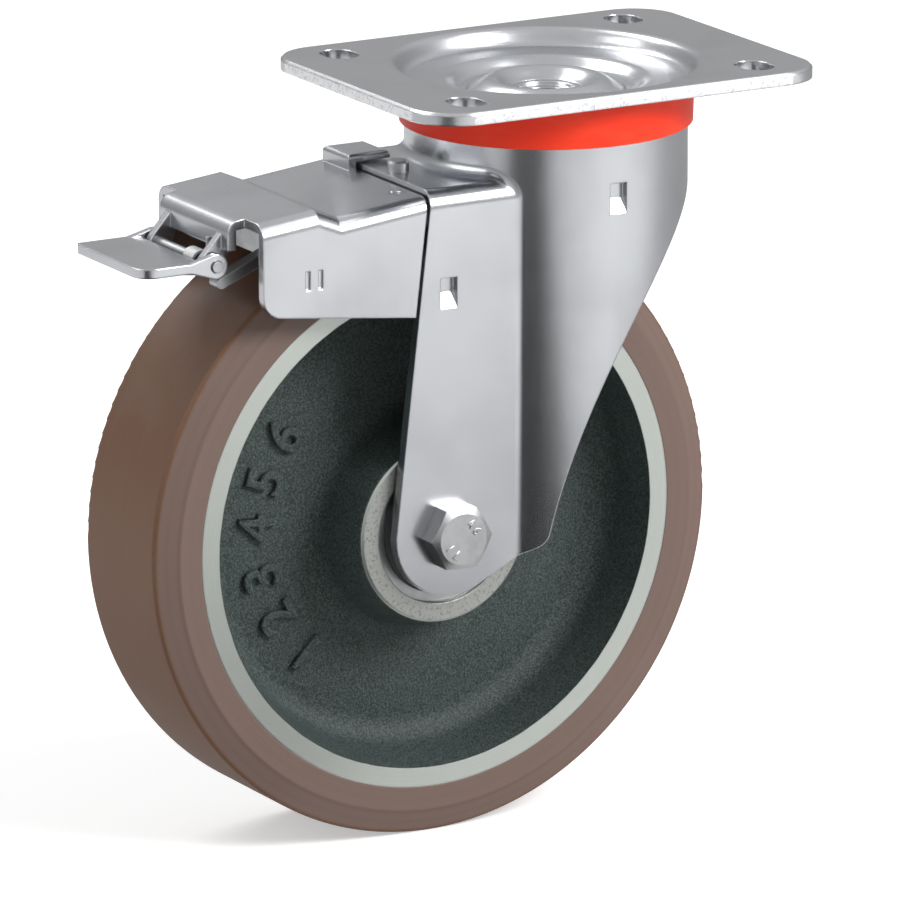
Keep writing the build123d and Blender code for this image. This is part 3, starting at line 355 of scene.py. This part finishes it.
def wheel_core_material(finish):
    """Sand-cast iron under dark green paint, with its rim and hub faces turned bright."""
    material, tree, surface = new_material("painted_cast_iron")
    point = here(tree)
    radius = axle_radius(tree, point)
    side = calc(tree, "ABSOLUTE", axis_values(tree, point)["X"])
    wander = calc(tree, "MULTIPLY_ADD", noise(tree, point, 160, 3), 0.3 * MM, -0.15 * MM)
    edge = calc(tree, "ADD", radius, wander)
    rim = masked(
        tree,
        smooth(tree, side, RIM_FACE - 0.4 * MM, RIM_FACE - 0.2 * MM),
        smooth(tree, edge, RIM_INNER_RADIUS, RIM_INNER_RADIUS + 0.3 * MM),
    )
    hub = masked(
        tree,
        smooth(tree, side, HUB_FACE - 0.2 * MM, HUB_FACE),
        smooth(tree, edge, HUB_RADIUS, HUB_RADIUS - 1.0 * MM),
    )
    bore = smooth(tree, radius, BEARING_BORE_RADIUS, BEARING_BORE_RADIUS - 0.2 * MM)
    turned = calc(tree, "MAXIMUM", rim, calc(tree, "MAXIMUM", hub, bore))

    sand = noise(tree, point, 1500, 5, 0.7)
    lumps = noise(tree, point, 300, 3, 0.55)
    paint = blended(tree, smooth(tree, sand, 0.38, 0.66), finish.paint_dark, finish.paint)
    specks = smooth(tree, noise(tree, point, 2600, 2, 0.5), 0.70, 0.76)
    speck_green, painted_edge_shade, groove_grey = (0.20, 0.23, 0.22), (0.006, 0.008, 0.008), (0.50, 0.53, 0.50)
    paint = blended(tree, calc(tree, "MULTIPLY", specks, 0.5), paint, speck_green)
    # Painted shade: every edge and crease of the casting and of its raised numbers is darkened almost to
    # black, standing in for the shadow that outlines them
    edge_shade_share = calc(tree, "MULTIPLY", edge_wear(tree, 0.6 * MM), 0.85)
    paint = blended(tree, edge_shade_share, paint, painted_edge_shade)
    grooves = rings(tree, radius, 5200, 3)
    bright = blended(tree, smooth(tree, grooves, 0.3, 0.7), finish.machined, groove_grey)

    # The hub's face is duller than the rim's, with dark pores, and keeps a bright outer edge
    iron_grey, pore_grey = (0.44, 0.45, 0.43), (0.24, 0.24, 0.22)
    pores = smooth(tree, noise(tree, point, 900, 4, 0.7), 0.50, 0.68)
    hub_face = masked(tree, hub, smooth(tree, radius, HUB_RADIUS - 1.6 * MM, HUB_RADIUS - 2.0 * MM))
    bright = blended(tree, hub_face, bright, blended(tree, pores, iron_grey, pore_grey))
    tree.links.new(blended(tree, turned, paint, bright), surface.inputs["Base Color"])
    tree.links.new(calc(tree, "MULTIPLY", turned, 0.85), surface.inputs["Metallic"])
    surface.inputs["Specular IOR Level"].default_value = 0.35
    rough_paint = calc(tree, "MULTIPLY_ADD", sand, 0.25, 0.33)
    rough = calc(tree, "MULTIPLY_ADD", turned, calc(tree, "SUBTRACT", 0.42, rough_paint), rough_paint)
    tree.links.new(rough, surface.inputs["Roughness"])
    painted = calc(tree, "SUBTRACT", 1.0, turned)
    cast = calc(tree, "MULTIPLY", painted, calc(tree, "MULTIPLY_ADD", lumps, 0.8, sand))
    normal = bump(tree, cast, 0.9, 0.35 * MM, rounded(tree, 0.8 * MM))
    normal = bump(tree, calc(tree, "MULTIPLY", turned, grooves), 0.35, 0.04 * MM, normal)
    tree.links.new(normal, surface.inputs["Normal"])
    return material


def tread_material(finish):
    """Cast polyurethane, its running face and sides turned on a lathe."""
    material, tree, surface = new_material("brown_polyurethane")
    point = here(tree)
    radius = axle_radius(tree, point)
    side = calc(tree, "ABSOLUTE", axis_values(tree, point)["X"])
    on_side = smooth(tree, side, TREAD_FLAT_HALF + 0.1 * MM, TREAD_FLAT_HALF + 0.7 * MM)
    along = calc(tree, "ADD", axis_values(tree, point)["X"], radius)
    coarse = rings(tree, along, 420, 3)
    fine = rings(tree, along, 3800, 3)
    cloud = noise(tree, point, 24, 4, 0.6)
    # The sides take a greyer brown, partly from their turned finish and partly as a painted sheen
    base = blended(tree, on_side, finish.tread, finish.tread_side_and_sheen)
    groove_brown, cloud_brown = (0.085, 0.050, 0.038), (0.19, 0.135, 0.112)
    groove_share = calc(tree, "MULTIPLY_ADD", on_side, 0.22, 0.08)
    lathed = masked(tree, smooth(tree, coarse, 0.45, 0.75), groove_share)
    base = blended(tree, lathed, base, groove_brown)
    base = blended(tree, smooth(tree, cloud, 0.5, 0.75, 0, 0.30), base, cloud_brown)
    tree.links.new(base, surface.inputs["Base Color"])
    tree.links.new(calc(tree, "MULTIPLY_ADD", fine, 0.2, 0.38), surface.inputs["Roughness"])
    surface.inputs["Specular IOR Level"].default_value = 0.4
    normal = bump(tree, coarse, 0.15, 0.10 * MM, rounded(tree, 0.8 * MM))
    normal = bump(tree, fine, 0.35, 0.04 * MM, normal)
    tree.links.new(normal, surface.inputs["Normal"])
    return material


def seal_material(finish):
    """Moulded orange-red plastic with a faint flow pattern."""
    material, tree, surface = new_material("orange_red_plastic")
    point = here(tree)
    flow = noise(tree, vector_calc(tree, "MULTIPLY", point, (1, 1, 4)), 60, 3, 0.5)
    grain = noise(tree, point, 1200, 2, 0.5)
    flow_orange = (0.99, 0.05, 0.012)
    base = blended(tree, smooth(tree, flow, 0.4, 0.7), finish.seal, flow_orange)
    tree.links.new(base, surface.inputs["Base Color"])
    tree.links.new(calc(tree, "MULTIPLY_ADD", grain, 0.12, 0.36), surface.inputs["Roughness"])
    surface.inputs["Specular IOR Level"].default_value = 0.3
    normal = bump(tree, grain, 0.3, 0.02 * MM, rounded(tree, 0.4 * MM))
    tree.links.new(normal, surface.inputs["Normal"])
    return material


def rubber_material(finish):
    """Dusty black bearing seals."""
    material, tree, surface = new_material("black_rubber")
    point = here(tree)
    grain = noise(tree, point, 1800, 3, 0.6)
    dusty_grey = (0.12, 0.12, 0.12)
    base = blended(tree, smooth(tree, grain, 0.3, 0.7), finish.rubber, dusty_grey)
    tree.links.new(base, surface.inputs["Base Color"])
    tree.links.new(calc(tree, "MULTIPLY_ADD", grain, 0.2, 0.45), surface.inputs["Roughness"])
    tree.links.new(bump(tree, grain, 0.4, 0.02 * MM), surface.inputs["Normal"])
    return material


class CASTOR_OT_finish_sheet(bpy.types.Operator):
    """Gives the pressed sheets their zinc plating"""

    bl_idname = "castor.finish_sheet"
    bl_label = "Finish Pressed Sheets"

    def execute(self, context):
        dress(zinc_material(context.scene.castor_finish), SHEET_NODES)
        return {"FINISHED"}


class CASTOR_OT_finish_steel(bpy.types.Operator):
    """Gives the turned and rolled parts their steel"""

    bl_idname = "castor.finish_steel"
    bl_label = "Finish Steel Parts"

    def execute(self, context):
        dress(steel_material(context.scene.castor_finish), STEEL_NODES)
        return {"FINISHED"}


class CASTOR_OT_finish_wheel(bpy.types.Operator):
    """Paints the cast wheel centre and colours the tread"""

    bl_idname = "castor.finish_wheel"
    bl_label = "Finish Wheel"

    def execute(self, context):
        finish = context.scene.castor_finish
        dress(wheel_core_material(finish), ("wheel_core",))
        dress(tread_material(finish), ("tread",))
        return {"FINISHED"}


class CASTOR_OT_finish_seals(bpy.types.Operator):
    """Gives the dust seal and the bearing seals their plastic and rubber"""

    bl_idname = "castor.finish_seals"
    bl_label = "Finish Seals"

    def execute(self, context):
        finish = context.scene.castor_finish
        dress(seal_material(finish), ("dust_seal",))
        dress(rubber_material(finish), RUBBER_NODES)
        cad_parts["dust_seal"].visible_glossy = False
        return {"FINISHED"}


# ---- kingpin and raised numbers


def turned_ring(name, profile, material):
    """A ring turned about the swivel axis from its radii and heights, closed where it began."""
    bpy.ops.object.select_all(action="DESELECT")
    (radius, height), *rest = profile
    bpy.ops.mesh.primitive_circle_add(vertices=128, radius=radius, location=(0, 0, height))
    bpy.ops.object.transform_apply(location=True)
    bpy.ops.object.mode_set(mode="EDIT")
    for next_radius, next_height in rest:
        rise = (0, 0, next_height - height)
        bpy.ops.mesh.extrude_region_move(TRANSFORM_OT_translate={"value": rise})
        spread = next_radius / radius
        bpy.ops.transform.resize(value=(spread, spread, 1))
        radius, height = next_radius, next_height
    bpy.ops.mesh.select_all(action="SELECT")
    bpy.ops.mesh.remove_doubles(threshold=0.001 * MM)
    bpy.ops.mesh.normals_make_consistent(inside=False)
    bpy.ops.object.mode_set(mode="OBJECT")
    bpy.ops.object.shade_smooth_by_angle(angle=radians(40))
    made = bpy.context.object
    made.name = name
    made.data.name = name
    made.data.materials.clear()
    made.data.materials.append(material)
    return made


def raised_numbers(name, marks, height, relief, stroke, material):
    """Numbers with rounded edges, each stood in its own place, as one mesh."""
    bpy.ops.object.select_all(action="DESELECT")
    stood = []
    for text, place in marks:
        bpy.ops.object.text_add()
        figure = bpy.context.object
        figure.data.body = text
        figure.data.size = height
        figure.data.align_x = "CENTER"
        figure.data.align_y = "CENTER"
        figure.data.extrude = relief * 0.75
        figure.data.bevel_depth = relief * 0.25
        figure.data.bevel_resolution = 2
        figure.data.offset = stroke
        figure.matrix_world = place
        stood.append(figure)
    for figure in stood:
        figure.select_set(True)
    bpy.context.view_layer.objects.active = stood[0]
    bpy.ops.object.convert(target="MESH")
    bpy.ops.object.join()
    bpy.ops.object.transform_apply(location=True, rotation=True, scale=True)
    made = bpy.context.object
    made.name = name
    made.data.name = name
    made.data.materials.clear()
    made.data.materials.append(material)
    return made


def facing(side, angle, radius, axial, tilt=0.0):
    """A place on a face of the wheel, upright away from the axle, for a side of +1 or -1."""
    outward = Vector((0, cos(angle), sin(angle)))
    normal = Vector((side, 0, 0)) * cos(tilt) + outward * sin(tilt)
    up = outward * cos(tilt) - Vector((side, 0, 0)) * sin(tilt)
    across = up.cross(normal)
    place = AXLE + outward * radius + Vector((side * axial, 0, 0))
    matrix = Matrix((across, up, normal)).transposed().to_4x4()
    matrix.translation = place
    return matrix


class CASTOR_OT_flare_kingpin(bpy.types.Operator):
    """Turns the hollow kingpin with its upper end flared like a trumpet"""

    bl_idname = "castor.flare_kingpin"
    bl_label = "Flare Kingpin"

    def execute(self, context):
        flare = context.scene.castor_kingpin
        low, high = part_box("kingpin")
        seat, bore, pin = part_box("top_plate")[0].z + flare.sheet, flare.bore, flare.radius
        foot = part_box("lock_ring")[0].z
        lip = high.x
        ledge, rise = pin - 0.6 * MM, high.z - seat
        steps = 12
        shares = [step / steps for step in range(steps + 1)]
        slope = [
            (flare.skirt + (lip - flare.skirt) * s, seat + rise * (0.5 - 0.5 * cos(pi * s)))
            for s in shares
        ]
        throat = [(lip + (ledge - lip) * s, seat + rise * (0.5 + 0.5 * cos(pi * s))) for s in shares]
        profile = (
            (bore, low.z), (lip - 1.6 * MM, low.z), (lip, foot), (pin, foot), (pin, seat),
            *slope, *throat[1:],
            (ledge - 1.0 * MM, seat), (ledge - 1.4 * MM, seat - 1.2 * MM),
            (bore, seat - 1.6 * MM), (bore, low.z),
        )
        made = turned_ring("kingpin_flare", profile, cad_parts["top_plate"].data.materials[0])
        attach(made, "plate")
        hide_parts("kingpin")
        return {"FINISHED"}


class CASTOR_OT_wheel_numbers(bpy.types.Operator):
    """Raises plain numbers on both faces of the wheel's web"""

    bl_idname = "castor.wheel_numbers"
    bl_label = "Raise Wheel Numbers"

    def execute(self, context):
        numbers = context.scene.castor_numbers
        slope = (WEB_INNER - WEB_OUTER) / (WEB_OUTER_RADIUS - WEB_INNER_RADIUS)
        axial = WEB_INNER - slope * (numbers.wheel_radius - WEB_INNER_RADIUS)
        stroke = 0.05 * MM
        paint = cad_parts["wheel_core"].data.materials[0]
        for side, place in ((1, "near"), (-1, "far")):
            marks = [
                (text, facing(side, pi / 2 + side * radians(turn), numbers.wheel_radius, axial, slope))
                for text, turn in WHEEL_DIGITS
            ]
            made = raised_numbers(
                f"wheel_numbers_{place}", marks, numbers.wheel_height, numbers.wheel_relief, stroke, paint
            )
            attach(made, "wheel")
        return {"FINISHED"}


class CASTOR_OT_bolt_grade(bpy.types.Operator):
    """Raises grade numbers on the axle bolt's head"""

    bl_idname = "castor.bolt_grade"
    bl_label = "Raise Bolt Grade"

    def execute(self, context):
        numbers = context.scene.castor_numbers
        head_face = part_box("axle_bolt")[1].x
        marks = [
            (text, facing(1, radians(angle), numbers.grade_radius, head_face))
            for text, angle in BOLT_DIGITS
        ]
        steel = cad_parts["axle_bolt"].data.materials[0]
        made = raised_numbers(
            "bolt_grade_numbers", marks, numbers.grade_height, numbers.grade_relief, 0.0, steel
        )
        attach(made, "fork")
        return {"FINISHED"}


# ---- studio


def look_at(obj, target):
    """Points a camera or lamp at a target."""
    obj.rotation_euler = (target - obj.location).to_track_quat("-Z", "Y").to_euler()


def softbox(name, place, target, size, power):
    """A square lamp."""
    lamp = bpy.data.objects.new(name, bpy.data.lights.new(name, "AREA"))
    bpy.context.scene.collection.objects.link(lamp)
    lamp.data.shape = "RECTANGLE"
    lamp.data.size, lamp.data.size_y = size
    lamp.data.energy = power
    lamp.location = place
    look_at(lamp, target)
    return lamp


class CASTOR_OT_studio(bpy.types.Operator):
    """Sets up the floor, the lamps, the white surround and the camera"""

    bl_idname = "castor.studio"
    bl_label = "Set Up Studio"

    def execute(self, context):
        studio = context.scene.castor_studio
        middle = Vector((0, -0.027, -0.070))
        back = Vector((
            sin(studio.azimuth) * cos(studio.elevation),
            -cos(studio.azimuth) * cos(studio.elevation),
            sin(studio.elevation),
        ))
        right = Vector((cos(studio.azimuth), sin(studio.azimuth), 0))
        up = back.cross(right)

        self.make_floor()
        self.make_world(context.scene)
        for name, turn, rise, distance, size, power in (
            ("key_softbox", 34, 34, 2.6, (1.3, 1.1), studio.key_power),
            ("fill_softbox", -100, 28, 2.0, (1.0, 1.0), studio.fill_power),
            ("top_softbox", 58, 60, 1.7, (0.45, 0.45), studio.top_power),
            ("rear_softbox", 205, 50, 1.7, (0.9, 0.9), studio.rear_power),
        ):
            softbox(name, middle + self.towards(turn, rise) * distance, middle, size, power)
        self.lay_card("black_card", -45, 0.25, 0.01)
        self.lay_card("grey_card", 100, 0.55, 0.42)

        camera = bpy.data.objects.new("camera", bpy.data.cameras.new("camera"))
        context.scene.collection.objects.link(camera)
        across, rise = FRAME_SHIFT
        aim = middle + (right * across + up * rise) / studio.pixels_per_metre
        camera.location = aim + back * studio.distance
        look_at(camera, aim)
        frame_width = FRAME_PIXELS / studio.pixels_per_metre
        camera.data.lens = camera.data.sensor_width * studio.distance / frame_width
        context.scene.camera = camera
        context.scene.view_settings.view_transform = "Standard"
        return {"FINISHED"}

    def towards(self, turn, rise):
        """A direction from its turn about +Z, starting at +X, and its height angle, in degrees."""
        turn, rise = radians(turn), radians(rise)
        return Vector((cos(turn) * cos(rise), sin(turn) * cos(rise), sin(rise)))

    def lay_card(self, name, turn, half_width, shade):
        """A card on the floor that only reflections see, laid away from the castor."""
        bpy.ops.object.select_all(action="DESELECT")
        bpy.ops.mesh.primitive_plane_add(size=1)
        card = bpy.context.object
        card.name = name
        card.scale = (1.4, 2 * half_width, 1)
        card.rotation_euler.z = radians(turn)
        card.location = self.towards(turn, 0) * 0.8 + Vector((0, 0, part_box("tread")[0].z + 1 * MM))
        material, tree, surface = new_material(name)
        surface.inputs["Base Color"].default_value = (shade, shade, shade, 1)
        surface.inputs["Roughness"].default_value = 0.9
        surface.inputs["Specular IOR Level"].default_value = 0.1
        card.data.materials.append(material)
        card.visible_camera = False
        card.visible_diffuse = False
        card.visible_shadow = False

    def make_floor(self):
        """A pale floor that reads white to the camera and keeps the castor's shadow."""
        bpy.ops.object.select_all(action="DESELECT")
        bpy.ops.mesh.primitive_plane_add(size=12, location=(0, 0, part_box("tread")[0].z))
        floor = bpy.context.object
        floor.name = "studio_floor"
        bpy.ops.object.transform_apply(location=True)
        material, tree, surface = new_material("pale_floor")
        mottle = noise(tree, here(tree), 3, 2)
        base = blended(tree, mottle, (0.80, 0.80, 0.80), (0.82, 0.82, 0.82))
        tree.links.new(base, surface.inputs["Base Color"])
        surface.inputs["Roughness"].default_value = 0.9
        surface.inputs["Specular IOR Level"].default_value = 0.1
        seen = node(tree, "ShaderNodeLightPath").outputs["Is Camera Ray"]
        surface.inputs["Emission Color"].default_value = (1, 1, 1, 1)
        tree.links.new(calc(tree, "MULTIPLY", seen, 0.45), surface.inputs["Emission Strength"])
        floor.data.materials.append(material)

    def make_world(self, scene):
        """White to the camera, and a soft grey studio for light and reflections."""
        scene.world = bpy.data.worlds.new("studio_surround")
        scene.world.use_nodes = True
        tree = scene.world.node_tree
        surround = tree.nodes["Background"]
        direction = node(tree, "ShaderNodeTexCoord").outputs["Generated"]
        height = axis_values(tree, direction)["Z"]
        grey = smooth(tree, height, 0.0, 0.8, 0.36, 0.75)
        path = node(tree, "ShaderNodeLightPath")
        softer = calc(tree, "MULTIPLY_ADD", path.outputs["Is Diffuse Ray"], -0.6, 1.0)
        grey = calc(tree, "MULTIPLY", grey, softer)
        strength = calc(tree, "MAXIMUM", grey, path.outputs["Is Camera Ray"])
        tree.links.new(strength, surround.inputs["Strength"])
        surround.inputs["Color"].default_value = (1, 1, 1, 1)


class CASTOR_PT_sidebar(bpy.types.Panel):
    """Lists the castor's operators and settings."""

    bl_label = "Swivel Castor"
    bl_idname = "CASTOR_PT_sidebar"
    bl_space_type = "VIEW_3D"
    bl_region_type = "UI"
    bl_category = "Castor"

    def draw(self, context):
        column = self.layout.column()
        for operator in OPERATORS:
            column.operator(operator.bl_idname)
        for group, _ in GROUPS:
            settings = getattr(context.scene, group)
            for name in settings.__annotations__:
                column.prop(settings, name)


OPERATORS = (
    CASTOR_OT_finish_sheet,
    CASTOR_OT_finish_steel,
    CASTOR_OT_finish_wheel,
    CASTOR_OT_finish_seals,
    CASTOR_OT_flare_kingpin,
    CASTOR_OT_wheel_numbers,
    CASTOR_OT_bolt_grade,
    CASTOR_OT_studio,
)
GROUPS = (
    ("castor_finish", CastorFinish),
    ("castor_numbers", CastorNumbers),
    ("castor_kingpin", CastorKingpin),
    ("castor_studio", CastorStudio),
)


def register():
    for name, group in GROUPS:
        bpy.utils.register_class(group)
        setattr(bpy.types.Scene, name, bpy.props.PointerProperty(type=group))
    for operator in OPERATORS:
        bpy.utils.register_class(operator)
    bpy.utils.register_class(CASTOR_PT_sidebar)


def unregister():
    bpy.utils.unregister_class(CASTOR_PT_sidebar)
    for operator in reversed(OPERATORS):
        bpy.utils.unregister_class(operator)
    for name, group in reversed(GROUPS):
        delattr(bpy.types.Scene, name)
        bpy.utils.unregister_class(group)


def main():
    register()
    bpy.ops.castor.finish_sheet()
    bpy.ops.castor.finish_steel()
    bpy.ops.castor.finish_wheel()
    bpy.ops.castor.finish_seals()
    bpy.ops.castor.flare_kingpin()
    bpy.ops.castor.wheel_numbers()
    bpy.ops.castor.bolt_grade()
    bpy.ops.castor.studio()


if __name__ == "__main__":
    main()
